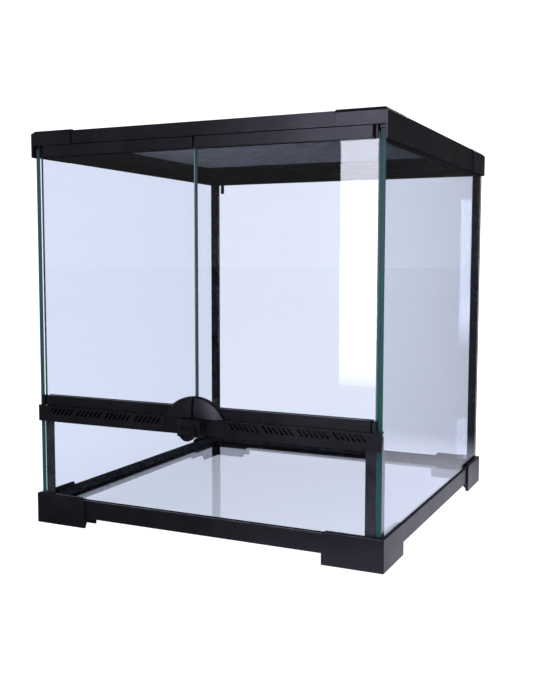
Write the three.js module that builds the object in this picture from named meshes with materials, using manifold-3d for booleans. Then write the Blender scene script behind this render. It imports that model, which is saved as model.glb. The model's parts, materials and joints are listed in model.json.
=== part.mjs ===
// Front-opening glass terrarium: a 300 mm glass box in a black plastic base and top frame,
// with two hinged glass doors, a slotted vent strip with a turn lock, and a lift-off screen lid.
// Millimetres, +Z up, +Y to the back, front towards -Y.
// Pieces are drawn in tank coordinates: x = 0 on the centre line, y = 0 at the front edges of
// the side panes, z = 0 under the feet. The outer group then moves the origin to the bottom
// centre of the whole object.
import * as THREE from "three";
import { mergeVertices } from "three/addons/utils/BufferGeometryUtils.js";
import Module from "manifold-3d";

const wasm = await Module();
wasm.setup();

// ---------------------------------------------------------------- driving dimensions
const GAP = 0.3; // between pieces that touch
const WIDTH = 300; // across the outer faces of the side panes
const DEPTH = 300; // from the side panes' front edges to the back pane's outer face
const GLASS = 4; // thickness of every pane
const HALF = WIDTH / 2;
const INNER = HALF - GLASS; // inner face of a side pane
const INSIDE = INNER - GAP; // reach of whatever stands between the side panes

const SIDE_PANE_LOW = 10.3;
const PANE_LOW = 13.6; // front, back and floor panes stand on the rails' inner step
const PANE_TOP = 311.3;
const FLOOR_TOP = PANE_LOW + GLASS;
const FRONT_PANE_SETBACK = 2; // the fixed front pane stands back from the side panes' edges
const FRONT_PANE_TOP = 90.9;
const FRONT_SEAL = { near: 137.5, front: 0.2, joint: 0.7, leg: 5, rearTop: 85.7 };

const BASE = { low: 8, top: 22.9, proud: 1.5, slab: 2, stepTop: 13.3, reach: 12 };
const FOOT = { proud: 3.2, arm: 48, top: 25.6, wall: 1.4, lip: 2.9, pad: 17.2, padTop: 7.7 };
const FOOT_CHAMFER = { edge: 0.9, end: 3 };
const FOOT_ARCH = { start: 20, near: 2.4, far: 15.4, height: 6 };

const TOP = { low: 304.2, top: 324.5, faceLow: 313.7, ledgeLow: 311.6, ledge: 1.8 };
const TOP_RIM = { reach: 2.4, thick: 1.9 };
const TOP_LIP = { out: 26, thick: 1.8, low: 310, top: 316.8 }; // upturned edge of the ledge
const PANE_LIP = { near: 4.3, far: 5.6, low: 304.6 }; // inner side of the slot for the panes
const RAIL_PROUD = { side: 1.2, front: 2.2, rear: 2.2 };
const CAP = { top: 325.5, side: 2.2, front: 3.2, wall: 1.9, chamfer: 2.4, armX: 39, armY: 48 };

const LID = { halfWidth: 147, front: 3, rear: 276.5, low: 317.1, top: 323.4 };
const LID_OPENING = { halfWidth: 127, front: 27, rear: 250 };
const LID_REBATE = { wide: 2.5, floor: 318.2 };
const MESH_THICK = 0.5;

const VENT = { low: 87.2, top: 100.4, front: -3.5, wall: 1.5, rear: 7.6, webLow: 91.2, webTop: 92.6 };
const VENT_END = { reach: HALF + 0.4, chamfer: 1 }; // the front wall covers the side panes' edges
const VENT_BAFFLE = { front: 2, wall: 1.2, low: 94.9, high: 96.6 }; // keeps bedding and light in
const VENT_SLOT = { low: 93.4, high: 98.6, lean: 4, wide: 2, pitch: 4.1, perGroup: 6 };
const VENT_GROUP = { first: 29.4, pitch: 28, count: 4 };

const DOOR = { gap: 0.8, front: -2.5, rear: 5.5, glassIn: 0.5, glassOut: 145 };
const DOOR_TOP_RAIL = { low: 304.6, top: 313.3, end: 143.2, chamfer: 2.2 };
const DOOR_LOW_RAIL = { low: 100.7, top: 109, end: 142.7, chamfer: 0.8 };
const RAIL_WEB = 3.9; // solid part of a door rail beyond the glass edge
const HINGE = { x: 139.8, y: 0, pin: 1.2, bore: 1.5 };

const PULL = { radius: 30, centreZ: 87, face: -6.5, skin: 1.2, back: -0.4 };
const PULL_BEVEL = { wide: 8, drop: 1.8, rim: 0.8, round: 1.4 };

const PLATE_HALF = 26.3; // half width of the lock plate let into the vent strip
const HOUSING = { half: 10, front: -12, rear: -3.8, low: 87, top: 100.2, wall: 1.3 };
const KNOB = { z: 91.2, radius: 7, front: -15.2, back: -12.3, shaft: 2.2, crank: 4, peg: 1 };
const BOLT = { front: -4.95, rear: -3.85, half: 8.3, low: 88.6, body: 94.6, top: 100 };
const PRONG = { near: 2.8, far: 8.2 };

const INLET = { left: -139, right: -119, front: 280, rear: 291 };
const SHUTTER = { left: -141.8, length: 24, front: 277.6, rear: 292.6, low: 309.3, top: 311 };
const TRACK = { left: -143.5, right: -95, low: 307.9, wall: 1.2, foot: 2.2 };

const FRONTMOST = KNOB.front;
const REARMOST = DEPTH + FOOT.proud;
const CIRCLE = 48; // facets round a full turn of the larger round shapes

// ---------------------------------------------------------------- materials
const plastic = (color = 0x1b1b20) =>
  new THREE.MeshStandardMaterial({ color, roughness: 0.45, metalness: 0 });
const silicone = () => new THREE.MeshStandardMaterial({ color: 0x101216, roughness: 0.6, metalness: 0 });
const steel = () => new THREE.MeshStandardMaterial({ color: 0x9a9da2, roughness: 0.35, metalness: 1 });
const screenWire = () => new THREE.MeshStandardMaterial({ color: 0x4a4e55, roughness: 0.5, metalness: 0.6 });
const glass = () =>
  new THREE.MeshStandardMaterial({
    color: 0xd6e6f2,
    roughness: 0.05,
    metalness: 0,
    transparent: true,
    opacity: 0.35,
  });

// ---------------------------------------------------------------- shape helpers
// A box between two corners.
function block(low, high) {
  const size = high.map((value, i) => value - low[i]);
  const middle = high.map((value, i) => (value + low[i]) / 2);
  return new THREE.BoxGeometry(...size).translate(...middle);
}

function outline(points) {
  return new THREE.Shape(points.map(([a, b]) => new THREE.Vector2(a, b)));
}

// Extrudes an outline drawn in (y, z) from x0 to x1.
function alongX(points, x0, x1) {
  const body = new THREE.ExtrudeGeometry(outline(points), { depth: x1 - x0, bevelEnabled: false });
  const turn = new THREE.Matrix4().makeBasis(
    new THREE.Vector3(0, 1, 0),
    new THREE.Vector3(0, 0, 1),
    new THREE.Vector3(1, 0, 0),
  );
  return body.applyMatrix4(turn).translate(x0, 0, 0);
}

// Extrudes an outline drawn in (x, z) from y0 to y1.
function alongY(points, y0, y1) {
  const body = new THREE.ExtrudeGeometry(outline(points), { depth: y1 - y0, bevelEnabled: false });
  const turn = new THREE.Matrix4().makeBasis(
    new THREE.Vector3(1, 0, 0),
    new THREE.Vector3(0, 0, 1),
    new THREE.Vector3(0, -1, 0),
  );
  return body.applyMatrix4(turn).translate(0, y1, 0);
}

// Extrudes an outline drawn in (x, y) from z0 to z1.
function alongZ(points, z0, z1) {
  const body = new THREE.ExtrudeGeometry(outline(points), { depth: z1 - z0, bevelEnabled: false });
  return body.translate(0, 0, z0);
}

// A cylinder standing on z0 at (x, y).
function post(radius, x, y, z0, z1, facets = 24) {
  const body = new THREE.CylinderGeometry(radius, radius, z1 - z0, facets);
  return body.rotateX(Math.PI / 2).translate(x, y, (z0 + z1) / 2);
}

// A cylinder lying along Y, from y0 to y1 at (x, z).
function spindle(radius, x, z, y0, y1, facets = 24) {
  return new THREE.CylinderGeometry(radius, radius, y1 - y0, facets).translate(x, (y0 + y1) / 2, z);
}

function toSolid(geometry) {
  const bare = geometry.clone();
  bare.deleteAttribute("normal");
  bare.deleteAttribute("uv");
  const merged = mergeVertices(bare, 1e-4);
  return new wasm.Manifold(
    new wasm.Mesh({
      numProp: 3,
      vertProperties: new Float32Array(merged.attributes.position.array),
      triVerts: new Uint32Array(merged.index.array),
    }),
  );
}

function toGeometry(solid) {
  const { vertProperties, triVerts } = solid.getMesh();
  const indexed = new THREE.BufferGeometry();
  indexed.setAttribute("position", new THREE.BufferAttribute(vertProperties, 3));
  indexed.setIndex(new THREE.BufferAttribute(triVerts, 1));
  const faceted = indexed.toNonIndexed();
  faceted.computeVertexNormals();
  return faceted;
}

const joined = (...geometries) => geometries.map(toSolid).reduce((sum, next) => sum.add(next));
const carved = (solid, ...cutters) => cutters.map(toSolid).reduce((left, tool) => left.subtract(tool), solid);

const cage = new THREE.Group();

function place(name, geometry, material) {
  const mesh = new THREE.Mesh(geometry, material);
  mesh.name = name;
  cage.add(mesh);
  return mesh;
}

// Places a right-hand piece and its mirror twin on the left.
function placePair(name, geometry, material) {
  place(`${name}_right`, geometry, material());
  place(`${name}_left`, geometry, material()).scale.x = -1;
}

// Mirrors an outline drawn with u measured inwards from the glass to the side it is needed on.
const fromRight = (points) => points.map(([u, z]) => [HALF - u, z]);
const fromRear = (points) => points.map(([u, z]) => [DEPTH - u, z]);

// ---------------------------------------------------------------- base
// Each rail carries the panes on its slab and the floor pane on its inner step, behind an
// outer wall that hides the glass edges. The side rails run through, and the front and back
// rails stop against their steps.
function baseRails() {
  const { low, top, proud, slab, stepTop, reach } = BASE;
  const side = fromRight([
    [-proud, low],
    [reach, low],
    [reach, stepTop],
    [GLASS + 2 * GAP, stepTop],
    [GLASS + 2 * GAP, low + slab],
    [-GAP, low + slab],
    [-GAP, top],
    [-proud, top],
  ]);
  const ended = (wallBack) => [
    [-proud, low],
    [reach, low],
    [reach, stepTop],
    [wallBack, stepTop],
    [wallBack, top],
    [-proud, top],
  ];
  const between = HALF - reach - GAP;
  placePair("base_rail", alongY(side, -proud, DEPTH + proud), plastic);
  place("base_rail_front", alongX(ended(FRONT_PANE_SETBACK - GAP), -between, between), plastic());
  place("base_rail_rear", alongX(fromRear(ended(-GAP)), -between, between), plastic());
}

// A corner foot drawn from its outer corner: an L-shaped wall with a lip over the rails, and
// an L-shaped pad below them that is arched under each arm.
function footGeometry() {
  const { arm, top, wall, lip, pad, padTop } = FOOT;
  const lipLow = BASE.top + GAP;
  const body = joined(
    block([0, 0, 0], [arm, wall, top]),
    block([0, 0, 0], [wall, arm, top]),
    block([0, 0, lipLow], [arm, lip, top]),
    block([0, 0, lipLow], [lip, arm, top]),
    block([0, 0, 0], [arm, pad, padTop]),
    block([0, 0, 0], [pad, arm, padTop]),
  );
  const { edge, end } = FOOT_CHAMFER;
  const chamfer = [
    [-1, top + 1],
    [-1, top - edge - 1],
    [edge + 1, top + 1],
  ];
  const armEnd = [
    [arm + 1, top + 1],
    [arm - end - 1, top + 1],
    [arm + 1, top - end - 1],
  ];
  return toGeometry(
    carved(
      body,
      alongX(archOutline(), FOOT_ARCH.start, arm + 1),
      alongY(archOutline(), FOOT_ARCH.start, arm + 1),
      alongX(chamfer, -1, arm + 1),
      alongY(chamfer, -1, arm + 1),
      alongX(armEnd, -1, lip + 1),
      alongY(armEnd, -1, lip + 1),
    ),
  );
}

function archOutline() {
  const { near, far, height } = FOOT_ARCH;
  const middle = (near + far) / 2;
  const points = [
    [near, -1],
    [far, -1],
  ];
  const steps = 12;
  for (let i = 0; i <= steps; i++) {
    const angle = (Math.PI * i) / steps;
    points.push([middle + ((far - near) / 2) * Math.cos(angle), height * Math.sin(angle)]);
  }
  return points;
}

function feet() {
  const geometry = footGeometry();
  const out = HALF + FOOT.proud;
  for (const [end, y, turnY] of [
    ["front", -FOOT.proud, 1],
    ["rear", DEPTH + FOOT.proud, -1],
  ]) {
    for (const [side, sign] of [
      ["left", 1],
      ["right", -1],
    ]) {
      const foot = place(`foot_${end}_${side}`, geometry, plastic());
      foot.position.set(-sign * out, y, 0);
      foot.scale.set(sign, turnY, 1);
    }
  }
}

// ---------------------------------------------------------------- glass and silicone
function panes() {
  const back = DEPTH - GLASS;
  placePair("side_glass", block([INNER, 0, SIDE_PANE_LOW], [HALF, DEPTH, PANE_TOP]), glass);
  place("back_glass", block([-INSIDE, back, PANE_LOW], [INSIDE, DEPTH, PANE_TOP]), glass());
  const frontBack = FRONT_PANE_SETBACK + GLASS;
  const frontEnd = INSIDE - FRONT_SEAL.joint - GAP;
  const frontPane = block(
    [-frontEnd, FRONT_PANE_SETBACK, PANE_LOW],
    [frontEnd, frontBack, FRONT_PANE_TOP],
  );
  place("lower_front_glass", frontPane, glass());
  place("floor_glass", block([-INSIDE, frontBack + GAP, PANE_LOW], [INSIDE, back - GAP, FLOOR_TOP]), glass());
}

// Silicone: beads round the floor, concave beads up the back corners, and seals that wrap
// round the ends of the fixed front pane, with a flat strip in front and a bead behind.
function seals() {
  const leg = 5;
  const low = FLOOR_TOP + GAP;
  const nearY = FRONT_PANE_SETBACK + GLASS + GAP;
  const farY = DEPTH - GLASS - GAP;
  const bead = (corner, inward) => [
    [corner, low],
    [corner + inward * leg, low],
    [corner, low + leg],
  ];
  place("floor_seal_front", alongX(bead(nearY, 1), -INSIDE + GAP, INSIDE - GAP), silicone());
  place("floor_seal_rear", alongX(bead(farY, -1), -INSIDE + GAP, INSIDE - GAP), silicone());
  placePair("floor_seal", alongY(bead(INSIDE, -1), nearY + leg + GAP, farY - leg - GAP), silicone);

  const cornerLeg = 7;
  const corner = [[INSIDE, farY]];
  const steps = 6;
  for (let i = 0; i <= steps; i++) {
    const angle = (Math.PI / 2) * (i / steps);
    corner.push([INSIDE - cornerLeg * (1 - Math.sin(angle)), farY - cornerLeg * (1 - Math.cos(angle))]);
  }
  const beadLow = low + leg + GAP;
  placePair("corner_seal_rear", alongZ(corner, beadLow, TOP.low), silicone);

  const { near, front, joint, leg: rearLeg, rearTop } = FRONT_SEAL;
  const stripBack = FRONT_PANE_SETBACK - GAP;
  const sealLow = BASE.top + GAP;
  const wrap = [
    [INSIDE, stripBack - GAP],
    [INSIDE, nearY + rearLeg],
    [INSIDE - rearLeg, nearY],
    [INSIDE - joint, nearY],
    [INSIDE - joint, stripBack - GAP],
  ];
  const frontSeal = joined(
    block([near, front, sealLow], [INSIDE, stripBack, FRONT_PANE_TOP]),
    alongZ(wrap, sealLow, rearTop),
  );
  placePair("corner_seal_front", toGeometry(frontSeal), silicone);
}

// ---------------------------------------------------------------- vent strip and lock
// The strip caps the fixed front pane: a slotted front wall, a web that sits on the glass
// with a lip behind it, and a top wall that carries the lower hinge pins. Air reaches the
// tank under a hanging baffle and over a standing one, so the slots look dark from outside.
function ventStrip() {
  const { low, top, front, wall, rear, webLow, webTop } = VENT;
  const back = front + wall;
  const paneBack = FRONT_PANE_SETBACK + GLASS + 0.4;
  const ceiling = top - wall;
  const lipLow = low - 1.2;
  const baffle = VENT_BAFFLE;
  const section = [
    [front, low],
    [back, low],
    [back, webLow],
    [paneBack, webLow],
    [paneBack, lipLow],
    [rear, lipLow],
    [rear, baffle.high],
    [rear - baffle.wall, baffle.high],
    [rear - baffle.wall, webTop],
    [back, webTop],
    [back, ceiling],
    [baffle.front, ceiling],
    [baffle.front, baffle.low],
    [baffle.front + baffle.wall, baffle.low],
    [baffle.front + baffle.wall, ceiling],
    [rear, ceiling],
    [rear, top],
    [front, top],
  ];
  const { reach, chamfer } = VENT_END;
  const wrap = INNER - 1;
  const frontWall = [
    [-reach, -GAP],
    [-reach, front + chamfer],
    [-reach + chamfer, front],
    [reach - chamfer, front],
    [reach, front + chamfer],
    [reach, -GAP],
    [wrap, -GAP],
    [wrap, back],
    [-wrap, back],
    [-wrap, -GAP],
  ];
  const body = joined(alongX(section, -INSIDE, INSIDE), alongZ(frontWall, low, top));
  const recess = PLATE_HALF + GAP;
  const cutters = [block([-recess, front - 1, low - 1], [recess, back, top + 1])];
  for (const sign of [-1, 1]) {
    cutters.push(post(HINGE.bore, sign * HINGE.x, HINGE.y, ceiling - 1, top + 1));
    cutters.push(...ventSlots(sign));
  }
  place("vent_strip", toGeometry(carved(body, ...cutters)), plastic());
}

// Slanted slots, top leaning to the middle, in groups with a plain land between them.
function ventSlots(sign) {
  const { low, high, lean, wide, pitch, perGroup } = VENT_SLOT;
  const slots = [];
  for (let group = 0; group < VENT_GROUP.count; group++) {
    for (let i = 0; i < perGroup; i++) {
      const x = VENT_GROUP.first + group * VENT_GROUP.pitch + i * pitch;
      const slot = [
        [sign * x, high],
        [sign * (x + wide), high],
        [sign * (x + wide + lean), low],
        [sign * (x + lean), low],
      ];
      slots.push(alongY(slot, VENT.front - 1, VENT.front + VENT.wall + 0.5));
    }
  }
  return slots;
}

function lockPlate() {
  const { front, wall, low, top } = VENT;
  const plate = block([-PLATE_HALF, front, low], [PLATE_HALF, front + wall - GAP, top]);
  place("lock_plate", plate, plastic());
}

// Open-backed box over the bolt, with a hole for the knob's shaft and two slots in its top
// for the bolt's prongs.
function lockHousing() {
  const { half, front, rear, low, top, wall } = HOUSING;
  const slotNear = PRONG.near - 0.4;
  const slotFar = PRONG.far + 0.4;
  const cutters = [
    block([-half + wall, front + 1.5, low + 1.2], [half - wall, rear + 1, top - 1.2]),
    spindle(KNOB.shaft + 0.4, 0, KNOB.z, front - 1, front + 2),
  ];
  for (const [x0, x1] of [
    [slotNear, slotFar],
    [-slotFar, -slotNear],
  ]) {
    cutters.push(block([x0, BOLT.front - 0.35, top - 2], [x1, rear + 1, top + 1]));
  }
  const shell = toSolid(block([-half, front, low], [half, rear, top]));
  place("lock_housing", toGeometry(carved(shell, ...cutters)), plastic());
}

// The knob, its shaft, and the crank whose peg lifts the bolt. Drawn about its own axis, and
// at rest the peg points sideways, which is the unlocked position.
function lockKnob() {
  const { radius, front, back, shaft, crank, peg, z } = KNOB;
  const dish = { radius: 5.6, depth: 1.2 };
  const crankFront = -9.9;
  const crankBack = -8.4;
  const turned = carved(
    joined(
      spindle(radius, 0, 0, front, back, CIRCLE),
      spindle(shaft, 0, 0, back - 0.5, crankBack),
      block([0, crankFront, -peg - 0.2], [crank + 1, crankBack, peg + 0.2]),
      spindle(peg, crank, 0, crankBack - 0.5, BOLT.rear - 0.1),
    ),
    spindle(dish.radius, 0, 0, front - 1, front + dish.depth, CIRCLE),
  );
  const grip = block([-dish.radius - 0.3, front, -1.3], [dish.radius + 0.3, front + dish.depth + 0.5, 1.3]);
  const knob = place("lock_knob", toGeometry(turned.add(toSolid(grip))), plastic(0x17171b));
  knob.position.z = z;
}

// Flat bolt with two prongs, one for each door. The peg works in its cross slot.
function lockBolt() {
  const { front, rear, half, low, body, top } = BOLT;
  const { near, far } = PRONG;
  const plate = [
    [-half, low],
    [half, low],
    [half, body],
    [far, body],
    [far, top],
    [near, top],
    [near, body],
    [-near, body],
    [-near, top],
    [-far, top],
    [-far, body],
    [-half, body],
  ];
  const slot = block([-1.7, front - 1, KNOB.z - 1.4], [KNOB.crank + 1.7, rear + 1, KNOB.z + 2.2]);
  place("lock_bolt", toGeometry(carved(toSolid(alongY(plate, front, rear)), slot)), steel());
}

// ---------------------------------------------------------------- doors
// A door rail is a channel over the glass edge, solid beyond it, with a bore for the hinge
// pin near its outer end. That end's front corner is chamfered so that it clears as it turns.
function doorRail({ low, top, end, chamfer }, glassBelow) {
  const { gap, front, rear } = DOOR;
  const plan = [
    [gap, front],
    [end - chamfer, front],
    [end, front + chamfer],
    [end, rear],
    [gap, rear],
  ];
  const channel = glassBelow
    ? block([gap - 1, -GAP, low - 1], [end + 1, GLASS + GAP, top - RAIL_WEB])
    : block([gap - 1, -GAP, low + RAIL_WEB], [end + 1, GLASS + GAP, top + 1]);
  const bore = post(HINGE.bore, HINGE.x, HINGE.y, low - 1, top + 1);
  return toGeometry(carved(toSolid(alongZ(plan, low, top)), channel, bore));
}

// Half of the round pull: a hollow shell with a bevelled rim. Its lower part lies on the
// door's bottom rail, and the bolt's prong rises into it from below.
function doorPull() {
  const { radius, centreZ, face, skin, back } = PULL;
  const { wide, drop, rim, round } = PULL_BEVEL;
  const railFront = DOOR.front - GAP;
  const flat = radius - wide;
  const pocket = radius - 2.2;
  const outside = [
    [0, face],
    [flat, face],
    [radius - rim, face + drop],
    [radius, face + drop + round],
    [radius, back],
  ];
  const hollow = [
    [pocket, back],
    [pocket, face + drop + skin],
    [flat, face + skin],
    [0, face + skin],
    [0, face],
  ];
  const filled = [
    [0, back],
    [0, face],
  ];
  const turned = (section) => {
    const profile = section.map(([r, y]) => new THREE.Vector2(r, y));
    return toSolid(new THREE.LatheGeometry(profile, CIRCLE * 2).translate(0, 0, centreZ));
  };
  const window = toSolid(
    block([DOOR.gap, face - 1, DOOR_LOW_RAIL.low], [radius + 1, 1, centreZ + radius + 1]),
  );
  const endWall = toSolid(
    block([DOOR.gap, face - 1, DOOR_LOW_RAIL.low], [DOOR.gap + skin, 1, centreZ + radius + 1]),
  );
  const shell = turned([...outside, ...hollow]).intersect(window);
  const wall = turned([...outside, ...filled]).intersect(endWall);
  const railSpace = block(
    [0, railFront, DOOR_LOW_RAIL.low - 1],
    [radius + 1, 1, DOOR_LOW_RAIL.top + GAP],
  );
  return toGeometry(carved(shell.add(wall), railSpace));
}

function doors() {
  const glassLow = DOOR_LOW_RAIL.low + RAIL_WEB + GAP;
  const glassTop = DOOR_TOP_RAIL.top - RAIL_WEB - GAP;
  const pane = block([DOOR.glassIn, 0, glassLow], [DOOR.glassOut, GLASS, glassTop]);
  placePair("door_glass", pane, glass);
  placePair("door_top_rail", doorRail(DOOR_TOP_RAIL, true), plastic);
  placePair("door_bottom_rail", doorRail(DOOR_LOW_RAIL, false), plastic);
  placePair("door_pull", doorPull(), plastic);
}

// Steel pins that the doors turn on, and the fixed blocks that close the ends of the rails.
function hinges() {
  const { x, y, pin } = HINGE;
  const lowPin = post(pin, x, y, VENT.webTop + GAP, DOOR_LOW_RAIL.low + RAIL_WEB - GAP);
  const topPin = post(pin, x, y, DOOR_TOP_RAIL.top - RAIL_WEB + GAP, TOP.faceLow + 1.5);
  placePair("hinge_pin_bottom", lowPin, steel);
  placePair("hinge_pin_top", topPin, steel);
  const blockBack = -0.5;
  const lowBlock = block(
    [DOOR_LOW_RAIL.end + 0.7, -3.2, DOOR_LOW_RAIL.low],
    [INNER + 0.4, blockBack, DOOR_LOW_RAIL.top],
  );
  const topBlock = block(
    [DOOR_TOP_RAIL.end + 0.4, DOOR.front, DOOR_TOP_RAIL.low],
    [DOOR.glassOut, blockBack, DOOR_TOP_RAIL.top],
  );
  placePair("hinge_block_bottom", lowBlock, plastic);
  placePair("hinge_block_top", topBlock, plastic);
}

// ---------------------------------------------------------------- top frame
// Section of a side or rear rail, with u measured inwards from the glass: outer wall with a
// rim, ledge over the pane, lip inside the pane and upturned lip round the screen opening.
function topRailSection(proud) {
  const { low, top, ledgeLow, ledge } = TOP;
  const lipBack = TOP_LIP.out - TOP_LIP.thick;
  return [
    [-proud, low],
    [-GAP, low],
    [-GAP, ledgeLow],
    [PANE_LIP.near, ledgeLow],
    [PANE_LIP.near, PANE_LIP.low],
    [PANE_LIP.far, PANE_LIP.low],
    [PANE_LIP.far, ledgeLow],
    [lipBack, ledgeLow],
    [lipBack, TOP_LIP.low],
    [TOP_LIP.out, TOP_LIP.low],
    [TOP_LIP.out, TOP_LIP.top],
    [lipBack, TOP_LIP.top],
    [lipBack, ledgeLow + ledge],
    [-GAP, ledgeLow + ledge],
    [-GAP, top - TOP_RIM.thick],
    [TOP_RIM.reach, top - TOP_RIM.thick],
    [TOP_RIM.reach, top],
    [-proud, top],
  ];
}

// The front rail is shallow, because the doors' top rails close below it.
function frontRailSection() {
  const { top, faceLow, ledge } = TOP;
  const lipBack = TOP_LIP.out - TOP_LIP.thick;
  const wallBack = -0.9;
  const rimBack = 1.8;
  return [
    [-RAIL_PROUD.front, faceLow],
    [lipBack, faceLow],
    [lipBack, TOP_LIP.low],
    [TOP_LIP.out, TOP_LIP.low],
    [TOP_LIP.out, TOP_LIP.top],
    [lipBack, TOP_LIP.top],
    [lipBack, faceLow + ledge],
    [wallBack, faceLow + ledge],
    [wallBack, top - TOP_RIM.thick],
    [rimBack, top - TOP_RIM.thick],
    [rimBack, top],
    [-RAIL_PROUD.front, top],
  ];
}

function topRails() {
  const endX = HALF + CAP.side - CAP.armX - GAP;
  const endY = CAP.armY - CAP.front + GAP;
  const sideSection = fromRight(topRailSection(RAIL_PROUD.side));
  const rearSection = fromRear(topRailSection(RAIL_PROUD.rear));
  placePair("top_rail", alongY(sideSection, endY, DEPTH - endY), plastic);
  place("top_rail_front", alongX(frontRailSection(), -endX, endX), plastic());
  place("top_rail_rear", alongX(rearSection, -endX, endX), plastic());
}

// A corner cap drawn from its outer corner, with a along X and b along Y. The rails butt
// against its two arms.
function capSolid(isFront) {
  const { top, side, front, wall, armX, armY } = CAP;
  const { low, faceLow, ledgeLow, ledge } = TOP;
  const ledgeTop = ledgeLow + ledge;
  const rimLow = top - TOP_RIM.thick;
  const lipA = side + TOP_LIP.out;
  const lipB = front + TOP_LIP.out;
  const sideStart = front + 8.2; // behind the doors
  const paneA = [side + PANE_LIP.near, side + PANE_LIP.far];
  const paneB = [front + PANE_LIP.near, front + PANE_LIP.far];
  const sideArm = [
    block([0, 0, low], [wall, armY, top]),
    block([0, 0, rimLow], [side + TOP_RIM.reach, armY, top]),
    block([0, sideStart, ledgeLow], [lipA, armY, ledgeTop]),
    block([0, front - GAP, ledgeLow], [side + PANE_LIP.near - 0.1, armY, ledgeTop]),
    block([lipA - TOP_LIP.thick, lipB - TOP_LIP.thick, TOP_LIP.low], [lipA, armY, TOP_LIP.top]),
    block([lipA - TOP_LIP.thick, lipB - TOP_LIP.thick, TOP_LIP.low], [armX, lipB, TOP_LIP.top]),
    block([paneA[0], isFront ? sideStart : paneB[0], PANE_LIP.low], [paneA[1], armY, ledgeTop]),
  ];
  const frontArm = [
    block([0, 0, faceLow], [armX, wall, top]),
    block([0, 0, rimLow], [armX, front + 1.8, top]),
    block([0, 0, faceLow], [armX, lipB, faceLow + ledge]),
    block([wall, sideStart, ledgeLow], [lipA, lipB, faceLow + ledge]),
  ];
  const rearArm = [
    block([0, 0, low], [armX, wall, top]),
    block([0, 0, rimLow], [armX, front + TOP_RIM.reach, top]),
    block([0, 0, ledgeLow], [armX, lipB, ledgeTop]),
    block([paneA[0], paneB[0], PANE_LIP.low], [armX, paneB[1], ledgeTop]),
  ];
  const body = joined(...sideArm, ...(isFront ? frontArm : rearArm));
  const chamfer = [
    [-1, top + 1],
    [-1, top - CAP.chamfer - 1],
    [CAP.chamfer + 1, top + 1],
  ];
  return carved(body, alongX(chamfer, -1, armX + 1), alongY(chamfer, -1, armY + 1));
}

function topCaps() {
  const corner = HALF + CAP.side;
  const hingeA = corner - HINGE.x;
  const hingeB = CAP.front + HINGE.y;
  const pinHole = post(HINGE.bore, hingeA, hingeB, TOP.faceLow - 1, TOP.faceLow + TOP.ledge + 1);
  const frontCap = toGeometry(carved(capSolid(true), pinHole));
  const rearCap = toGeometry(capSolid(false));
  const rearEdge = DEPTH + CAP.front;
  const inletHole = block(
    [INLET.left + corner, rearEdge - INLET.rear, TOP.ledgeLow - 1],
    [INLET.right + corner, rearEdge - INLET.front, TOP.ledgeLow + TOP.ledge + 1],
  );
  const inletCap = toGeometry(carved(capSolid(false), inletHole));
  for (const [name, geometry, sign, y, turnY] of [
    ["top_cap_front_left", frontCap, 1, -CAP.front, 1],
    ["top_cap_front_right", frontCap, -1, -CAP.front, 1],
    ["top_cap_rear_left", inletCap, 1, rearEdge, -1],
    ["top_cap_rear_right", rearCap, -1, rearEdge, -1],
  ]) {
    const cap = place(name, geometry, plastic());
    cap.position.set(-sign * corner, y, 0);
    cap.scale.set(sign, turnY, 1);
  }
}

// Shutter under the cable inlet in the rear left cap, and the track it slides in.
function cableInlet() {
  const { left, length, front, rear, low, top } = SHUTTER;
  const tab = { near: 10.8, wide: 3.4, front: 284, rear: 286, low: 293.8 };
  const shutter = joined(
    block([left, front, low], [left + length, rear, top]),
    block([left + tab.near, tab.front, tab.low], [left + tab.near + tab.wide, tab.rear, low + 0.5]),
  );
  place("cable_shutter", toGeometry(shutter), plastic());

  const trackTop = TOP.ledgeLow - GAP;
  const nearY = front - GAP - TRACK.wall;
  const farY = rear + GAP + TRACK.wall;
  const footTop = low - GAP;
  const track = joined(
    block([TRACK.left, nearY, TRACK.low], [TRACK.right, nearY + TRACK.wall, trackTop]),
    block([TRACK.left, nearY, TRACK.low], [TRACK.right, nearY + TRACK.wall + TRACK.foot, footTop]),
    block([TRACK.left, farY - TRACK.wall, TRACK.low], [TRACK.right, farY, trackTop]),
    block([TRACK.left, farY - TRACK.wall - TRACK.foot, TRACK.low], [TRACK.right, farY, footTop]),
    block([TRACK.left, nearY, TRACK.low], [TRACK.left + TRACK.wall, farY, trackTop]),
  );
  place("shutter_track", toGeometry(track), plastic());
}

// Lift-off lid: a flat frame resting on the upturned lips, with the screen in a rebate.
function screenLid() {
  const { halfWidth, front, rear, low, top } = LID;
  const open = LID_OPENING;
  const { wide, floor } = LID_REBATE;
  const rebate = block(
    [-open.halfWidth - wide, open.front - wide, floor],
    [open.halfWidth + wide, open.rear + wide, top + 1],
  );
  const opening = block([-open.halfWidth, open.front, low - 1], [open.halfWidth, open.rear, top + 1]);
  const slab = toSolid(block([-halfWidth, front, low], [halfWidth, rear, top]));
  place("screen_frame", toGeometry(carved(slab, rebate, opening)), plastic());
  const edge = wide - GAP;
  const sheet = block(
    [-open.halfWidth - edge, open.front - edge, floor + GAP],
    [open.halfWidth + edge, open.rear + edge, floor + GAP + MESH_THICK],
  );
  place("screen_mesh", sheet, screenWire());
}

// ---------------------------------------------------------------- assembly
baseRails();
feet();
panes();
seals();
ventStrip();
lockPlate();
lockHousing();
lockKnob();
lockBolt();
doors();
hinges();
topRails();
topCaps();
cableInlet();
screenLid();

cage.position.y = -(FRONTMOST + REARMOST) / 2;
const terrarium = new THREE.Group();
terrarium.add(cage);

export default terrarium;
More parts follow.
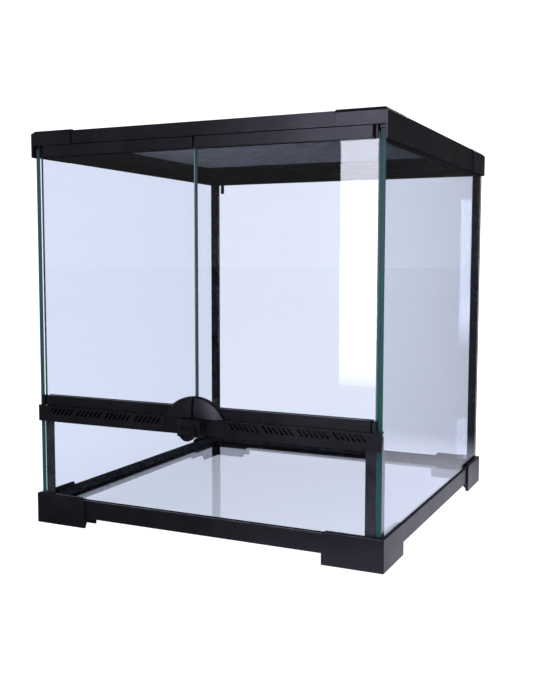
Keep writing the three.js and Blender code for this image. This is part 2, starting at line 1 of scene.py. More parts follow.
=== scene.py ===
"""Front-opening glass terrarium: finishes, moulded edges, woven screen, studio and camera.

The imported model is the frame. Plastic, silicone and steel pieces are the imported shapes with
their edges rounded, the panes are rebuilt with ground edges, and the screen is woven wire.
Everything is in metres, +Z up, front towards -Y.
"""

import json
import logging
import math
from dataclasses import dataclass, field
from enum import Enum

import bmesh
import bpy
import numpy as np
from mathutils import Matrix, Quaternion, Vector


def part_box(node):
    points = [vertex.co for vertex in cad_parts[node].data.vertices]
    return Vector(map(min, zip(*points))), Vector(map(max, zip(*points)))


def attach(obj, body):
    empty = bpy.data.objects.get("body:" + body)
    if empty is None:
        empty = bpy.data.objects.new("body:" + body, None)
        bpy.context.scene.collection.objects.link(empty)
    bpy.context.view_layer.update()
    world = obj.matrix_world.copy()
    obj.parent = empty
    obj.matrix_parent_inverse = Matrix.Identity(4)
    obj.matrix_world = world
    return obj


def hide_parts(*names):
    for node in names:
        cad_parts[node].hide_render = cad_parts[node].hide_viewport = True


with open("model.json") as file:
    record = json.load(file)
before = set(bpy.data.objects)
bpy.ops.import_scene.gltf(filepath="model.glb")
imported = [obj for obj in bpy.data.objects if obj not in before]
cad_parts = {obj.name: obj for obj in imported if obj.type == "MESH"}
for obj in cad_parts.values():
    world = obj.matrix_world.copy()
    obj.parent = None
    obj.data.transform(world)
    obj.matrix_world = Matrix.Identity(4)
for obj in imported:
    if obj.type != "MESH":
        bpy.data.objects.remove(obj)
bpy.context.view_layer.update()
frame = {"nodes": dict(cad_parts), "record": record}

MM = 0.001
Colour = tuple[float, float, float]


class Slot(Enum):
    """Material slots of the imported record."""

    BASE = "base_plastic"
    TOP = "top_plastic"
    TRIM = "trim_plastic"
    DOOR = "door_plastic"
    KNOB = "knob_plastic"
    LID = "lid_plastic"
    GLASS = "clear_glass"
    SILICONE = "black_silicone"
    STEEL = "plated_steel"
    WIRE = "screen_wire"


class Side(Enum):
    """The two hands of a mirrored pair, with the sign of x on each."""

    LEFT = -1
    RIGHT = 1

    @property
    def word(self) -> str:
        """Name ending of the side's nodes."""
        return self.name.lower()


# ------------------------------------------------------------------ shader helpers
class Shader:
    """Thin wrapper for building one material's node tree."""

    def __init__(self, name: str) -> None:
        """Starts an empty tree with a Principled shader in its output.

        Args:
            name: Name of the material.
        """
        self.material = bpy.data.materials.new(name)
        self.material.use_nodes = True
        self.tree = self.material.node_tree
        self.tree.nodes.clear()
        self.output = self.node("ShaderNodeOutputMaterial")
        self.principled = self.node("ShaderNodeBsdfPrincipled")
        self.link(self.principled.outputs["BSDF"], self.output.inputs["Surface"])
        self.place = self.node("ShaderNodeTexCoord").outputs["Object"]

    def node(self, kind: str, **settings: object) -> bpy.types.Node:
        """Adds a node.

        Args:
            kind: Blender's node type.
            **settings: Attributes to set on it.

        Returns:
            The new node.
        """
        made = self.tree.nodes.new(kind)
        for key, value in settings.items():
            setattr(made, key, value)
        return made

    def link(self, source: bpy.types.NodeSocket, target: bpy.types.NodeSocket) -> None:
        """Joins two sockets."""
        self.tree.links.new(source, target)

    def set(self, **values: float | Colour) -> None:
        """Sets the Principled shader's own sockets.

        Args:
            **values: Socket names with spaces as underscores.
        """
        for key, value in values.items():
            socket = self.principled.inputs[key.replace("_", " ")]
            socket.default_value = (*value, 1.0) if isinstance(value, tuple) else value

    def stretched(self, scale: Colour) -> bpy.types.NodeSocket:
        """Object coordinates scaled by a different amount on each axis.

        Args:
            scale: Factor on each axis.

        Returns:
            The scaled coordinates.
        """
        mapping = self.node("ShaderNodeMapping")
        mapping.inputs["Scale"].default_value = scale
        self.link(self.place, mapping.inputs["Vector"])
        return mapping.outputs["Vector"]

    def noise(
        self,
        scale: float,
        detail: float = 2.0,
        roughness: float = 0.5,
        place: bpy.types.NodeSocket | None = None,
    ) -> bpy.types.NodeSocket:
        """Noise over the object.

        Args:
            scale: Bumps per metre.
            detail: Octaves.
            roughness: Weight of the finer octaves.
            place: Coordinates, or None for plain object coordinates.

        Returns:
            The noise factor, about 0.5 on average.
        """
        made = self.node("ShaderNodeTexNoise")
        made.inputs["Scale"].default_value = scale
        made.inputs["Detail"].default_value = detail
        made.inputs["Roughness"].default_value = roughness
        self.link(place or self.place, made.inputs["Vector"])
        return made.outputs["Fac"]

    def spread(self, factor: bpy.types.NodeSocket, low: float, high: float) -> bpy.types.NodeSocket:
        """Carries the middle of a 0 to 1 factor onto a range.

        Args:
            factor: Factor to carry over.
            low: Value at 0.3 of the factor.
            high: Value at 0.7 of the factor.

        Returns:
            The new value.
        """
        made = self.node("ShaderNodeMapRange")
        for key, value in (("From Min", 0.3), ("From Max", 0.7), ("To Min", low), ("To Max", high)):
            made.inputs[key].default_value = value
        self.link(factor, made.inputs["Value"])
        return made.outputs["Result"]

    def blend(
        self, factor: bpy.types.NodeSocket, first: Colour, second: Colour
    ) -> bpy.types.NodeSocket:
        """Colour between two colours.

        Args:
            factor: 0 for the first colour, 1 for the second.
            first: Linear colour.
            second: Linear colour.

        Returns:
            The mixed colour.
        """
        made = self.node("ShaderNodeMix", data_type="RGBA")
        made.inputs[6].default_value = (*first, 1.0)
        made.inputs[7].default_value = (*second, 1.0)
        self.link(factor, made.inputs[0])
        return made.outputs[2]

    def relief(self, *layers: tuple[bpy.types.NodeSocket, float]) -> None:
        """Stacks bumps on the shader's normal.

        Args:
            *layers: Pairs of height factor and depth in metres.
        """
        below = None
        for height, depth in layers:
            bump = self.node("ShaderNodeBump")
            bump.inputs["Strength"].default_value = 1.0
            bump.inputs["Distance"].default_value = depth
            self.link(height, bump.inputs["Height"])
            if below is not None:
                self.link(below, bump.inputs["Normal"])
            below = bump.outputs["Normal"]
        self.link(below, self.principled.inputs["Normal"])


# ------------------------------------------------------------------ finishes
@dataclass(frozen=True)
class MouldedPlastic:
    """Black injection-moulded plastic with a fine spark-eroded grain."""

    name: str
    dark: Colour = (0.0030, 0.0030, 0.0044)
    light: Colour = (0.0064, 0.0060, 0.0088)
    smooth: float = 0.26
    rough: float = 0.37
    grain: float = 0.000012

    def make(self) -> bpy.types.Material:
        """Builds the material: cloudy colour, uneven sheen, grain and faint moulding waves."""
        s = Shader(self.name)
        clouds = s.blend(s.spread(s.noise(38, 4), 0, 1), self.dark, self.light)
        s.link(clouds, s.principled.inputs["Base Color"])
        s.link(s.spread(s.noise(24, 5, 0.6), self.smooth, self.rough), s.principled.inputs["Roughness"])
        s.set(IOR=1.5, Specular_Tint=(0.84, 0.82, 1.0))
        s.relief((s.noise(2600, 2), self.grain), (s.noise(14, 1), 0.00003))
        return s.material


@dataclass(frozen=True)
class ClearGlass:
    """Faces of a float glass pane: faintly tinted, with a trace of smudging."""

    name: str
    tint: Colour = (0.828, 0.859, 0.938)

    def make(self) -> bpy.types.Material:
        """Builds the material: refracting body, and smudges in its roughness."""
        s = Shader(self.name)
        s.set(Base_Color=self.tint, IOR=1.5, Transmission_Weight=1.0)
        s.link(s.spread(s.noise(9, 3, 0.6), 0.0, 0.012), s.principled.inputs["Roughness"])
        return s.material


@dataclass(frozen=True)
class GroundGlassEdge:
    """Ground edge of a pane, opaque, with the green light that has run along the glass and comes out there
    painted into its colour.
    """

    name: str
    foot: float = 0.10
    crown: float = 0.30
    # Opaque colours: a painted glow that stands in for the light running along the glass and out at the edge.
    low: Colour = (0.016, 0.078, 0.080)
    high: Colour = (0.030, 0.066, 0.084)
    dark: Colour = (0.006, 0.026, 0.029)

    def make(self) -> bpy.types.Material:
        """Builds the material: the painted glow of light from the glass, green below, greyer above, darker
        streaks along the edge.
        """
        s = Shader(self.name)
        split = s.node("ShaderNodeSeparateXYZ")
        s.link(s.place, split.inputs["Vector"])
        climb = s.node("ShaderNodeMapRange")
        climb.inputs["From Min"].default_value = self.foot
        climb.inputs["From Max"].default_value = self.crown
        s.link(split.outputs["Z"], climb.inputs["Value"])
        body = s.blend(climb.outputs["Result"], self.low, self.high)
        streaks = s.noise(1, 3, 0.6, s.stretched((900, 900, 14)))
        made = s.node("ShaderNodeMix", data_type="RGBA")
        made.inputs[7].default_value = (*self.dark, 1.0)
        s.link(body, made.inputs[6])
        s.link(s.spread(streaks, 0.0, 0.75), made.inputs[0])
        s.link(made.outputs[2], s.principled.inputs["Base Color"])
        s.link(s.spread(s.noise(300, 3), 0.30, 0.42), s.principled.inputs["Roughness"])
        s.set(IOR=1.5, Specular_IOR_Level=0.16)
        s.relief((s.noise(1, 2, 0.5, s.stretched((1500, 1500, 200))), 0.00001))
        return s.material


@dataclass(frozen=True)
class CuredSilicone:
    """Black silicone, smoothed with a finger, so it is glossy with soft waves."""

    name: str
    colour: Colour = (0.010, 0.011, 0.016)

    def make(self) -> bpy.types.Material:
        """Builds the material: near-black, with waves along the bead."""
        s = Shader(self.name)
        lighter = tuple(2.2 * c for c in self.colour)
        clouds = s.blend(s.spread(s.noise(60, 3), 0, 1), self.colour, lighter)
        s.link(clouds, s.principled.inputs["Base Color"])
        s.link(s.spread(s.noise(90, 2), 0.18, 0.34), s.principled.inputs["Roughness"])
        s.set(IOR=1.42)
        s.relief((s.noise(90, 2), 0.00005))
        return s.material


@dataclass(frozen=True)
class PlatedSteel:
    """Zinc-plated steel with fine drawing marks."""

    name: str
    colour: Colour = (0.56, 0.57, 0.58)

    def make(self) -> bpy.types.Material:
        """Builds the material: metal with streaky sheen."""
        s = Shader(self.name)
        dull = tuple(0.62 * c for c in self.colour)
        clouds = s.blend(s.spread(s.noise(400, 3), 0, 1), dull, self.colour)
        s.link(clouds, s.principled.inputs["Base Color"])
        marks = s.noise(1, 2, 0.5, s.stretched((4000, 4000, 150)))
        s.link(s.spread(marks, 0.22, 0.42), s.principled.inputs["Roughness"])
        s.set(Metallic=1.0)
        s.relief((marks, 0.000006))
        return s.material


@dataclass(frozen=True)
class CoatedWire:
    """Dark grey coat on woven aluminium wire."""

    name: str
    colour: Colour = (0.040, 0.043, 0.052)

    def make(self) -> bpy.types.Material:
        """Builds the material: grey coat, rubbed a little lighter in patches."""
        s = Shader(self.name)
        rubbed = tuple(1.9 * c for c in self.colour)
        clouds = s.blend(s.spread(s.noise(120, 4), 0, 1), self.colour, rubbed)
        s.link(clouds, s.principled.inputs["Base Color"])
        s.link(s.spread(s.noise(300, 2), 0.34, 0.5), s.principled.inputs["Roughness"])
        s.set(Metallic=0.35)
        s.relief((s.noise(5000, 1), 0.000008))
        return s.material


# ------------------------------------------------------------------ mesh helpers
def mesh_from(
    name: str,
    points: np.ndarray,
    quads: np.ndarray,
    material_index: np.ndarray | None = None,
    smooth: bool = False,
) -> bpy.types.Mesh:
    """Puts arrays into a mesh.

    Args:
        name: Name of the mesh.
        points: Vertices, one row each.
        quads: Four vertex numbers a row, counter-clockwise from outside.
        material_index: Material number of each face, or None for 0.
        smooth: Whether its faces are shaded smooth.

    Returns:
        The new mesh.
    """
    mesh = bpy.data.meshes.new(name)
    mesh.vertices.add(len(points))
    mesh.vertices.foreach_set("co", np.ascontiguousarray(points, np.float32).ravel())
    mesh.loops.add(quads.size)
    mesh.loops.foreach_set("vertex_index", np.ascontiguousarray(quads, np.int32).ravel())
    mesh.polygons.add(len(quads))
    mesh.polygons.foreach_set("loop_start", np.arange(len(quads), dtype=np.int32) * 4)
    mesh.polygons.foreach_set("use_smooth", np.full(len(quads), smooth))
    if material_index is not None:
        mesh.polygons.foreach_set("material_index", material_index.astype(np.int32))
    mesh.update(calc_edges=True)
    mesh.validate()
    return mesh


def linked(name: str, mesh: bpy.types.Mesh, *materials: bpy.types.Material) -> bpy.types.Object:
    """Makes an object at the origin.

    Args:
        name: Name of the object.
        mesh: Its mesh.
        *materials: Materials in slot order.

    Returns:
        The new object, linked into the scene.
    """
    for material in materials:
        mesh.materials.append(material)
    made = bpy.data.objects.new(name, mesh)
    bpy.context.scene.collection.objects.link(made)
    return made


def stand_for(piece: bpy.types.Object, node: str) -> None:
    """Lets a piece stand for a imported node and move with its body.

    Args:
        piece: The new piece.
        node: The node that it replaces.
    """
    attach(piece, BODY_OF[node])
    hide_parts(node)


BODY_OF = {
    node: body for body, nodes in frame["record"]["behaviour"]["bodies"].items() for node in nodes
}


@dataclass(frozen=True)
class Moulding:
    """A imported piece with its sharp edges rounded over."""

    node: str
    slot: Slot
    radius: float = 0.35 * MM
    corner: float = math.radians(35)
    segments: int = 2

    def build(self, material: bpy.types.Material) -> bpy.types.Object:
        """Copies the node's mesh, welds it, clears its flat seams and rounds its edges.

        Args:
            material: Finish of the piece.

        Returns:
            The rounded piece, standing for its node.
        """
        mesh = frame["nodes"][self.node].data.copy()
        mesh.materials.clear()
        shape = bmesh.new()
        shape.from_mesh(mesh)
        bmesh.ops.remove_doubles(shape, verts=shape.verts, dist=0.002 * MM)
        bmesh.ops.dissolve_limit(
            shape, angle_limit=math.radians(0.5), verts=shape.verts, edges=shape.edges
        )
        for face in shape.faces:
            face.smooth = True
        for edge in shape.edges:
            edge.smooth = edge.calc_face_angle(0.0) < self.corner
        shape.to_mesh(mesh)
        shape.free()
        piece = linked(f"{self.node}_moulded", mesh, material)
        bevel = piece.modifiers.new("rounded_edges", "BEVEL")
        bevel.width = self.radius
        bevel.segments = self.segments
        bevel.limit_method = "ANGLE"
        bevel.angle_limit = self.corner
        bevel.use_clamp_overlap = True
        bevel.harden_normals = True
        stand_for(piece, self.node)
        return piece


# ------------------------------------------------------------------ sub-assemblies
@dataclass
class MouldedSet:
    """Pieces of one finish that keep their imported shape, with rounded edges."""

    label: str
    slot: Slot
    nodes: tuple[str, ...]
    radius: float = 0.35 * MM

    def build(self, material: bpy.types.Material) -> list[bpy.types.Object]:
        """Rounds and dresses every piece of the set.

        Args:
            material: Finish of the set.

        Returns:
            The pieces.
        """
        logging.info("%s: %d pieces", self.label, len(self.nodes))
        return [Moulding(node, self.slot, self.radius).build(material) for node in self.nodes]


@dataclass
class Pane:
    """A glass pane: two clear faces, ground edges and a narrow arris along each edge."""

    node: str
    arris: float = 0.35 * MM

    def build(self, clear: bpy.types.Material, edge: bpy.types.Material) -> bpy.types.Object:
        """Builds the pane from four rectangles stacked through its thickness.

        The outer two rectangles are drawn in by the arris, and the inner two, one arris
        deeper, have the full size. The bands between them are the arrises and the edge.

        Args:
            clear: Finish of the two faces.
            edge: Finish of the edges and arrises, whose colour is a painted glow of the light in the glass.

        Returns:
            The pane, standing for its node.
        """
        low, high = (np.array(corner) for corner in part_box(self.node))
        middle, half = (low + high) / 2, (high - low) / 2
        through = int(np.argmin(half))
        across = [(through + 1) % 3, (through + 2) % 3]
        signs = np.array([[-1, -1], [1, -1], [1, 1], [-1, 1]], float)
        depth = half[through] - np.array([0, 1, 1, 0]) * self.arris
        depth *= np.array([-1, -1, 1, 1])
        inset = np.array([1, 0, 0, 1]) * self.arris
        points = np.empty((4, 4, 3))
        points[:, :, through] = middle[through] + depth[:, None]
        for k, axis in enumerate(across):
            points[:, :, axis] = middle[axis] + signs[None, :, k] * (half[axis] - inset[:, None])
        ring = np.arange(4)
        layer = np.arange(3)[:, None] * 4
        bands = np.stack(
            [layer + ring, layer + (ring + 1) % 4, layer + 4 + (ring + 1) % 4, layer + 4 + ring], -1
        ).reshape(-1, 4)
        caps = np.array([[3, 2, 1, 0], [12, 13, 14, 15]])
        kinds = np.array([0, 0] + [1] * len(bands))
        mesh = mesh_from(f"{self.node}_pane", points.reshape(-1, 3), np.vstack([caps, bands]), kinds)
        piece = linked(f"{self.node}_pane", mesh, clear, edge)
        stand_for(piece, self.node)
        return piece


@dataclass
class WovenScreen:
    """Plain-woven wire screen in the lid: each wire goes over one crossing and under the next."""

    node: str = "screen_mesh"
    pitch: float = 1.8 * MM
    wire: float = 0.24 * MM
    corners: int = 4

    def wires(self, count: int, length: float, starts: np.ndarray, phase: int) -> np.ndarray:
        """Centre lines and skins of one set of parallel wires.

        Sample j of wire i lies at j pitches along the wire, and its height is one wire radius,
        up where i + j + phase is even and down where it is odd. Around each sample stand
        the corners of the skin, at equal angles on the wire's radius.

        Args:
            count: Samples along a wire.
            length: Length of a wire.
            starts: Place of each wire across the set.
            phase: 0 or 1, so that the two sets pass each other.

        Returns:
            Array of wire, sample and corner by (across, along, up).
        """
        i = np.arange(len(starts))[:, None, None]
        j = np.arange(count)[None, :, None]
        angle = (np.arange(self.corners) + 0.5)[None, None, :] * 2 * math.pi / self.corners
        rise = np.where((i + j + phase) % 2 == 0, 1.0, -1.0) * self.wire
        across = starts[:, None, None] + self.wire * np.cos(angle) + 0 * j
        along = np.linspace(-length / 2, length / 2, count)[None, :, None] + 0 * across
        up = rise + self.wire * np.sin(angle)
        return np.stack(np.broadcast_arrays(across, along, up), -1)

    def skin(self, grid: np.ndarray, turned: bool) -> tuple[np.ndarray, np.ndarray]:
        """Faces over the wires, closed at both ends.

        Args:
            grid: Result of wires().
            turned: True where across is x and along is y, so the faces keep their outside.

        Returns:
            Points and quads.
        """
        wires, samples, corners, _ = grid.shape
        first = (np.arange(wires) * samples * corners)[:, None, None]
        j = (np.arange(samples - 1) * corners)[None, :, None]
        k = np.arange(corners)[None, None, :]
        near, far = first + j + k, first + j + (k + 1) % corners
        sides = np.stack([near, near + corners, far + corners, far], -1).reshape(-1, 4)
        start = first[:, 0] + np.arange(corners)[None, :]
        end = start + (samples - 1) * corners
        quads = np.vstack([sides, start, end[:, ::-1]])
        return grid.reshape(-1, 3), quads if turned else quads[:, ::-1]

    def build(
        self, lengthwise: bpy.types.Material, crosswise: bpy.types.Material
    ) -> list[bpy.types.Object]:
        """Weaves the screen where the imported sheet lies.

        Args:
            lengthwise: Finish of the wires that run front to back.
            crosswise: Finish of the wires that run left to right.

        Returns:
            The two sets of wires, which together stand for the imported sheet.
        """
        low, high = (np.array(corner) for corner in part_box(self.node))
        middle, size = (low + high) / 2, high - low
        count_x = int(size[0] / self.pitch)
        count_y = int(size[1] / self.pitch)
        x = (np.arange(count_x) - (count_x - 1) / 2) * self.pitch
        y = (np.arange(count_y) - (count_y - 1) / 2) * self.pitch
        pieces = []
        along_y = self.wires(count_y, (count_y - 1) * self.pitch, x, 0)
        along_x = self.wires(count_x, (count_x - 1) * self.pitch, y, 1)
        for name, grid, turned, material in (
            ("screen_wires_lengthwise", along_y, True, lengthwise),
            ("screen_wires_crosswise", along_x, False, crosswise),
        ):
            points, quads = self.skin(grid, turned)
            if not turned:
                points = points[:, [1, 0, 2]]
            skin = mesh_from(name, points + middle, quads, smooth=True)
            piece = linked(name, skin, material)
            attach(piece, BODY_OF[self.node])
            pieces.append(piece)
        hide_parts(self.node)
        return pieces


# ------------------------------------------------------------------ studio
@dataclass
class Studio:
    """Pale floor, a white surround, a narrow bright card and the camera."""

    floor_half: float = 30.0
    floor_diffuse: float = 0.14
    sweep_centre: Colour = (0.30, -0.40, 0.0)
    glow_centre: Colour = (0.30, 0.0, 0.0)
    glow_near: float = 0.18
    glow_far: float = 0.42
    mirror_glow: float = 0.85
    white_left: float = 1.25
    white_right: float = 1.47
    mirror_white: float = 0.92
    mirror_front: float = 0.13
    mirror_dark: float = 0.03
    card_y: float = -1.05
    card_colour: Colour = (0.95, 0.95, 1.05)
    card_fade: tuple[float, float] = (-0.03, 0.09)
    glow_colour: Colour = (0.86, 0.86, 1.0)
    floor_takes_off: float = 0.95
    sweep: tuple[float, float] = (-0.42, -0.20)
    behind_from: tuple[float, float] = (0.86, 0.92)
    front_from: tuple[float, float] = (0.2, 0.6)
    camera_at: tuple[float, float, float] = (0.34696, -0.74475, 0.22003)
    turn: float = math.radians(25.006)
    tilt: float = math.radians(5.028)
    roll: float = math.radians(0.132)
    lens: float = 47.8

    @staticmethod
    def ranged(
        tree: bpy.types.NodeTree, source: bpy.types.NodeSocket, limits: tuple[float, ...]
    ) -> bpy.types.NodeSocket:
        """Carries a value smoothly from one range onto another.

        Args:
            tree: Node tree to build in.
            source: The value.
            limits: Start and end of the range it has, then of the range it gets.

        Returns:
            The new value.
        """
        made = tree.nodes.new("ShaderNodeMapRange")
        made.interpolation_type = "SMOOTHSTEP"
        for key, value in zip(("From Min", "From Max", "To Min", "To Max"), limits):
            made.inputs[key].default_value = value
        tree.links.new(source, made.inputs["Value"])
        return made.outputs["Result"]

    @staticmethod
    def vector(
        tree: bpy.types.NodeTree, operation: str, source: bpy.types.NodeSocket, other: Colour = (0, 0, 0)
    ) -> bpy.types.Node:
        """Adds a vector operation.

        Args:
            tree: Node tree to build in.
            operation: Name of the operation.
            source: First vector.
            other: Second vector, where the operation has one.

        Returns:
            The node.
        """
        made = tree.nodes.new("ShaderNodeVectorMath")
        made.operation = operation
        made.inputs[1].default_value = other
        tree.links.new(source, made.inputs[0])
        return made

    @staticmethod
    def deeper(tree: bpy.types.NodeTree, count: str, than: float) -> bpy.types.NodeSocket:
        """Tells whether light has met more surfaces of one kind than a number.

        Args:
            tree: Node tree to build in.
            count: Light Path output that counts them.
            than: The number.

        Returns:
            1 where it has, otherwise 0.
        """
        test = tree.nodes.new("ShaderNodeMath")
        test.operation = "GREATER_THAN"
        test.inputs[1].default_value = than
        tree.links.new(tree.nodes.new("ShaderNodeLightPath").outputs[count], test.inputs[0])
        return test.outputs["Value"]

    @staticmethod
    def maths(
        tree: bpy.types.NodeTree, operation: str, *values: bpy.types.NodeSocket
    ) -> bpy.types.NodeSocket:
        """Works out one number from two.

        Args:
            tree: Node tree to build in.
            operation: Name of the operation.
            *values: The two numbers.

        Returns:
            The result.
        """
        made = tree.nodes.new("ShaderNodeMath")
        made.operation = operation
        for value, socket in zip(values, made.inputs):
            tree.links.new(value, socket)
        return made.outputs["Value"]

    @staticmethod
    def swap(
        s: Shader,
        choice: bpy.types.NodeSocket,
        plain: bpy.types.NodeSocket,
        chosen: bpy.types.NodeSocket,
    ) -> None:
        """Puts one of two shaders in a material's output.

        Args:
            s: The material.
            choice: 0 for the plain shader, 1 for the chosen one.
            plain: Shader at 0.
            chosen: Shader at 1.
        """
        made = s.node("ShaderNodeMixShader")
        for socket, source in zip(made.inputs, (choice, plain, chosen)):
            s.link(source, socket)
        s.link(made.outputs["Shader"], s.output.inputs["Surface"])

    def white(
        self, tree: bpy.types.NodeTree, direction: bpy.types.NodeSocket, less: float = 0.0
    ) -> bpy.types.NodeSocket:
        """Brightness of the white surround, which rises a little from left to right.

        Args:
            tree: Node tree to build in.
            direction: Unit vector towards the surround.
            less: What is taken off it everywhere.

        Returns:
            The brightness.
        """
        across = self.vector(tree, "DOT_PRODUCT", direction, (1, 0, 0)).outputs["Value"]
        ends = (self.white_left - less, self.white_right - less)
        return self.ranged(tree, across, (*self.sweep, *ends))

    def floor(self) -> bpy.types.Object:
        """Lays a large square level with the feet.

        It glows as bright as the surround, less the light that it scatters, so it meets it
        without a line and the object's shadow on it stays faint. What gloss picks up of it is
        bright only close to the right side, and fades from there, as beyond the edge of a
        sheet of paper.

        Returns:
            The floor.
        """
        s = Shader("pale_floor")
        pale = tuple(self.floor_diffuse * c for c in (0.97, 0.97, 0.98))
        s.link(s.blend(s.noise(3, 3), pale, (self.floor_diffuse,) * 3), s.principled.inputs["Base Color"])
        s.set(Roughness=0.75, Specular_IOR_Level=0.1, Emission_Color=(1.0, 1.0, 1.0))
        away = self.vector(s.tree, "SUBTRACT", s.place, self.sweep_centre).outputs["Vector"]
        outward = self.vector(s.tree, "NORMALIZE", away).outputs["Vector"]
        scattered = self.floor_takes_off * self.floor_diffuse * self.white_right
        lit = self.white(s.tree, outward, scattered)
        s.link(lit, s.principled.inputs["Emission Strength"])
        distance = self.vector(s.tree, "DISTANCE", s.place, self.glow_centre).outputs["Value"]
        faded = self.ranged(
            s.tree, distance, (self.glow_near, self.glow_far, self.mirror_glow, self.mirror_dark)
        )
        picked_up = s.node("ShaderNodeEmission")
        picked_up.inputs["Color"].default_value = (*self.glow_colour, 1.0)
        s.link(faded, picked_up.inputs["Strength"])
        mirrored = self.deeper(s.tree, "Glossy Depth", 0.5)
        self.swap(s, mirrored, s.principled.outputs["BSDF"], picked_up.outputs["Emission"])
        corners = np.array([[-1, -1, 0], [1, -1, 0], [1, 1, 0], [-1, 1, 0]], float)
        mesh = mesh_from("floor", corners * self.floor_half, np.array([[0, 1, 2, 3]]))
        made = linked("floor", mesh, s.material)
        return made

    def card(
        self, name: str, across: tuple[float, float], up: tuple[float, float], strength: float, inside: bool
    ) -> bpy.types.Object:
        """Stands a bright card up in front of the object, for its gloss to pick up.

        Args:
            name: Name of the card.
            across: Its left and right edge.
            up: Its foot and top. It dims towards its foot.
            strength: Brightness.
            inside: Whether it shows in the panes inside the tank or in the outermost ones.

        Returns:
            The card.
        """
        s = Shader(name)
        height = self.vector(s.tree, "DOT_PRODUCT", s.place, (0, 0, 1)).outputs["Value"]
        glow = s.node("ShaderNodeEmission")
        glow.inputs["Color"].default_value = (*self.card_colour, 1.0)
        fade = (up[0] + self.card_fade[0], up[0] + self.card_fade[1], 0.0, strength)
        s.link(self.ranged(s.tree, height, fade), glow.inputs["Strength"])
        clear = s.node("ShaderNodeBsdfTransparent").outputs["BSDF"]
        mirrored = self.deeper(s.tree, "Glossy Depth", 0.5)
        behind = self.deeper(s.tree, "Transmission Depth", 2.5)
        shown = self.maths(s.tree, "MULTIPLY" if inside else "GREATER_THAN", mirrored, behind)
        self.swap(s, shown, clear, glow.outputs["Emission"])
        (x0, x1), (z0, z1), y = across, up, self.card_y
        points = np.array([[x0, y, z0], [x1, y, z0], [x1, y, z1], [x0, y, z1]])
        made = linked(name, mesh_from(name, points, np.array([[0, 3, 2, 1]])), s.material)
        made.visible_camera = made.visible_diffuse = made.visible_shadow = False
        return made

    def backdrop(self) -> None:
        """White all round, but what gloss picks up is white only behind the object."""
        world = bpy.data.worlds.new("white_surround")
        world.use_nodes = True
        bpy.context.scene.world = world
        tree = world.node_tree
        tree.nodes.clear()
        direction = tree.nodes.new("ShaderNodeTexCoord").outputs["Generated"]
        behind = (-math.sin(self.turn), math.cos(self.turn), 0.0)
        facing = self.vector(tree, "DOT_PRODUCT", direction, behind).outputs["Value"]
        forward = self.vector(tree, "DOT_PRODUCT", direction, (0, -1, 0)).outputs["Value"]
        gloss = self.maths(
            tree,
            "ADD",
            self.ranged(tree, facing, (*self.behind_from, 0.0, self.mirror_white)),
            self.ranged(tree, forward, (*self.front_from, self.mirror_dark, self.mirror_front)),
        )
        choice = tree.nodes.new("ShaderNodeMix")
        for socket, source in (
            (0, self.deeper(tree, "Glossy Depth", 0.5)),
            (2, self.white(tree, direction)),
            (3, gloss),
        ):
            tree.links.new(source, choice.inputs[socket])
        strength = choice.outputs[0]
        light = tree.nodes.new("ShaderNodeBackground")
        light.inputs["Color"].default_value = (1.0, 1.0, 1.0, 1.0)
        tree.links.new(strength, light.inputs["Strength"])
        tree.links.new(light.outputs["Background"], tree.nodes.new("ShaderNodeOutputWorld").inputs["Surface"])

    def lamp(self, name: str, at: Colour, size: float, power: float) -> bpy.types.Object:
        """Hangs a soft square lamp that faces the object.

        Args:
            name: Name of the lamp.
            at: Its place.
            size: Side of its square.
            power: Watts.

        Returns:
            The lamp.
        """
        light = bpy.data.lights.new(name, "AREA")
        light.size = size
        light.energy = power
        made = bpy.data.objects.new(name, light)
        made.location = at
        made.rotation_euler = (Vector((0, 0, 0.15)) - Vector(at)).to_track_quat("-Z", "Y").to_euler()
        bpy.context.scene.collection.objects.link(made)
        made.visible_glossy = False
        return made

    def camera(self) -> bpy.types.Object:
        """Sets the camera up: turned left of +Y, tilted down, and rolled a hair."""
        data = bpy.data.cameras.new("camera")
        data.lens = self.lens
        data.sensor_width = 36.0
        data.clip_end = 100.0
        made = bpy.data.objects.new("camera", data)
        bpy.context.scene.collection.objects.link(made)
        ahead = Vector(
            (
                -math.sin(self.turn) * math.cos(self.tilt),
                math.cos(self.turn) * math.cos(self.tilt),
                -math.sin(self.tilt),
            )
        )
        made.rotation_mode = "QUATERNION"
        made.rotation_quaternion = ahead.to_track_quat("-Z", "Y") @ Quaternion((0, 0, 1), self.roll)
        made.location = self.camera_at
        bpy.context.scene.camera = made
        return made

    def build(self) -> None:
        """Builds the whole studio."""
        self.floor()
        self.card("bright_card", (-0.230, -0.117), (0.0, 0.85), 9.2, inside=False)
        self.card("window_card", (-0.161, -0.100), (0.028, 0.364), 12.0, inside=True)
        self.backdrop()
        self.lamp("top_light", (0.3, -0.5, 1.8), 1.6, 9.0)
        self.camera()
        bpy.context.scene.view_settings.view_transform = "Standard"


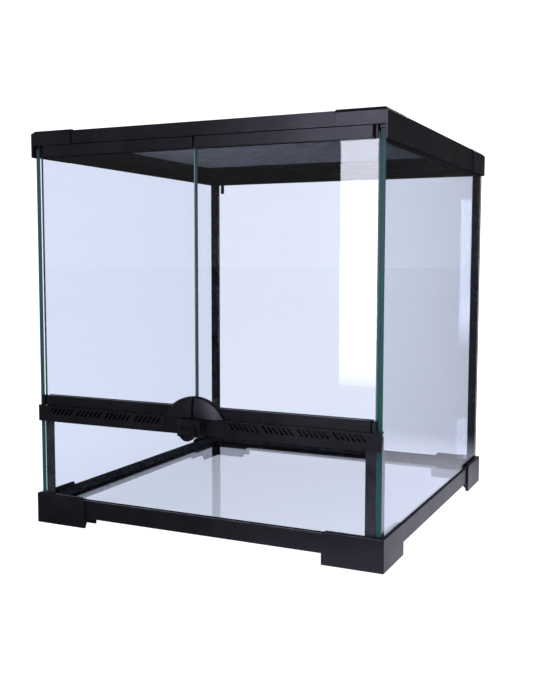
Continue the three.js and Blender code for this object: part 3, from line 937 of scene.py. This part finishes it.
# ------------------------------------------------------------------ the terrarium
@dataclass
class Terrarium:
    """All sub-assemblies of the tank, in building order."""

    body_sets: tuple[MouldedSet, ...] = field(
        default_factory=lambda: (
            MouldedSet(
                "base frame",
                Slot.BASE,
                tuple(f"base_rail_{end}" for end in ("front", "rear", "left", "right"))
                + tuple(f"foot_{end}_{side.word}" for end in ("front", "rear") for side in Side),
                0.7 * MM,
            ),
            MouldedSet(
                "top frame",
                Slot.TOP,
                tuple(f"top_rail_{end}" for end in ("front", "rear", "left", "right"))
                + tuple(f"top_cap_{end}_{side.word}" for end in ("front", "rear") for side in Side)
                + ("cable_shutter", "shutter_track"),
                0.4 * MM,
            ),
            MouldedSet(
                "vent strip and lock body",
                Slot.TRIM,
                ("vent_strip", "lock_plate", "lock_housing")
                + tuple(f"hinge_block_{end}_{side.word}" for end in ("bottom", "top") for side in Side),
                0.2 * MM,
            ),
            MouldedSet(
                "door plastics",
                Slot.DOOR,
                tuple(
                    f"door_{part}_{side.word}"
                    for part in ("top_rail", "bottom_rail", "pull")
                    for side in Side
                ),
                0.3 * MM,
            ),
            MouldedSet("lock knob", Slot.KNOB, ("lock_knob",), 0.25 * MM),
            MouldedSet("lid frame", Slot.LID, ("screen_frame",), 0.4 * MM),
        )
    )
    pane_nodes: tuple[str, ...] = (
        "side_glass_left",
        "side_glass_right",
        "back_glass",
        "lower_front_glass",
        "floor_glass",
        "door_glass_left",
        "door_glass_right",
    )
    seal_nodes: tuple[str, ...] = tuple(
        [f"floor_seal_{end}" for end in ("front", "rear", "left", "right")]
        + [f"corner_seal_{end}_{side.word}" for end in ("front", "rear") for side in Side]
    )
    steel_nodes: tuple[str, ...] = tuple(
        [f"hinge_pin_{end}_{side.word}" for end in ("bottom", "top") for side in Side]
        + ["lock_bolt"]
    )

    def plastics(self) -> list[bpy.types.Object]:
        """Builds the moulded pieces, one finish for each set."""
        made = []
        for group in self.body_sets:
            finish = MouldedPlastic(f"moulded_{group.slot.value}").make()
            made += group.build(finish)
        return made

    def panes(self) -> list[bpy.types.Object]:
        """Builds the seven panes: bluer side panes, and doors with polished edges that carry a paler painted
        glow.
        """
        clear = ClearGlass("pane_glass").make()
        bluer = ClearGlass("side_pane_glass", (0.815, 0.855, 0.965)).make()
        ground = GroundGlassEdge("pane_edge").make()
        # The door edges carry a paler painted glow than the other panes' edges.
        polished = GroundGlassEdge(
            "door_edge", low=(0.16, 0.25, 0.27), high=(0.18, 0.25, 0.28), dark=(0.07, 0.13, 0.15)
        ).make()
        made = []
        for node in self.pane_nodes:
            faces = bluer if node.startswith("side") else clear
            edges = polished if node.startswith("door") else ground
            made.append(Pane(node).build(faces, edges))
        return made

    def seals(self) -> list[bpy.types.Object]:
        """Builds the silicone beads and strips."""
        finish = CuredSilicone("bead_silicone").make()
        return MouldedSet("seals", Slot.SILICONE, self.seal_nodes, 0.5 * MM).build(finish)

    def steel(self) -> list[bpy.types.Object]:
        """Builds the hinge pins and the bolt."""
        finish = PlatedSteel("zinc_plate").make()
        return MouldedSet("steel", Slot.STEEL, self.steel_nodes, 0.12 * MM).build(finish)

    def screen(self) -> list[bpy.types.Object]:
        """Weaves the screen. Its lengthwise wires are coloured brighter than the crosswise ones, a painted
        sheen for the light that they catch.
        """
        # Painted sheen: the lengthwise wires get a lighter copy of the coat for the light that they catch.
        bright = CoatedWire("screen_coat_rubbed", (0.27, 0.29, 0.34)).make()
        return WovenScreen().build(bright, CoatedWire("screen_coat").make())

    def build(self) -> list[bpy.types.Object]:
        """Builds the sub-assemblies and returns every piece."""
        return self.plastics() + self.panes() + self.seals() + self.steel() + self.screen()


def main() -> None:
    """Builds the terrarium and the studio, and reports each piece."""
    logging.basicConfig(level=logging.INFO, format="%(message)s")
    for piece in Terrarium().build():
        logging.info("%s: %d faces", piece.name, len(piece.data.polygons))
    Studio().build()
    bpy.context.view_layer.update()


if __name__ == "__main__":
    main()
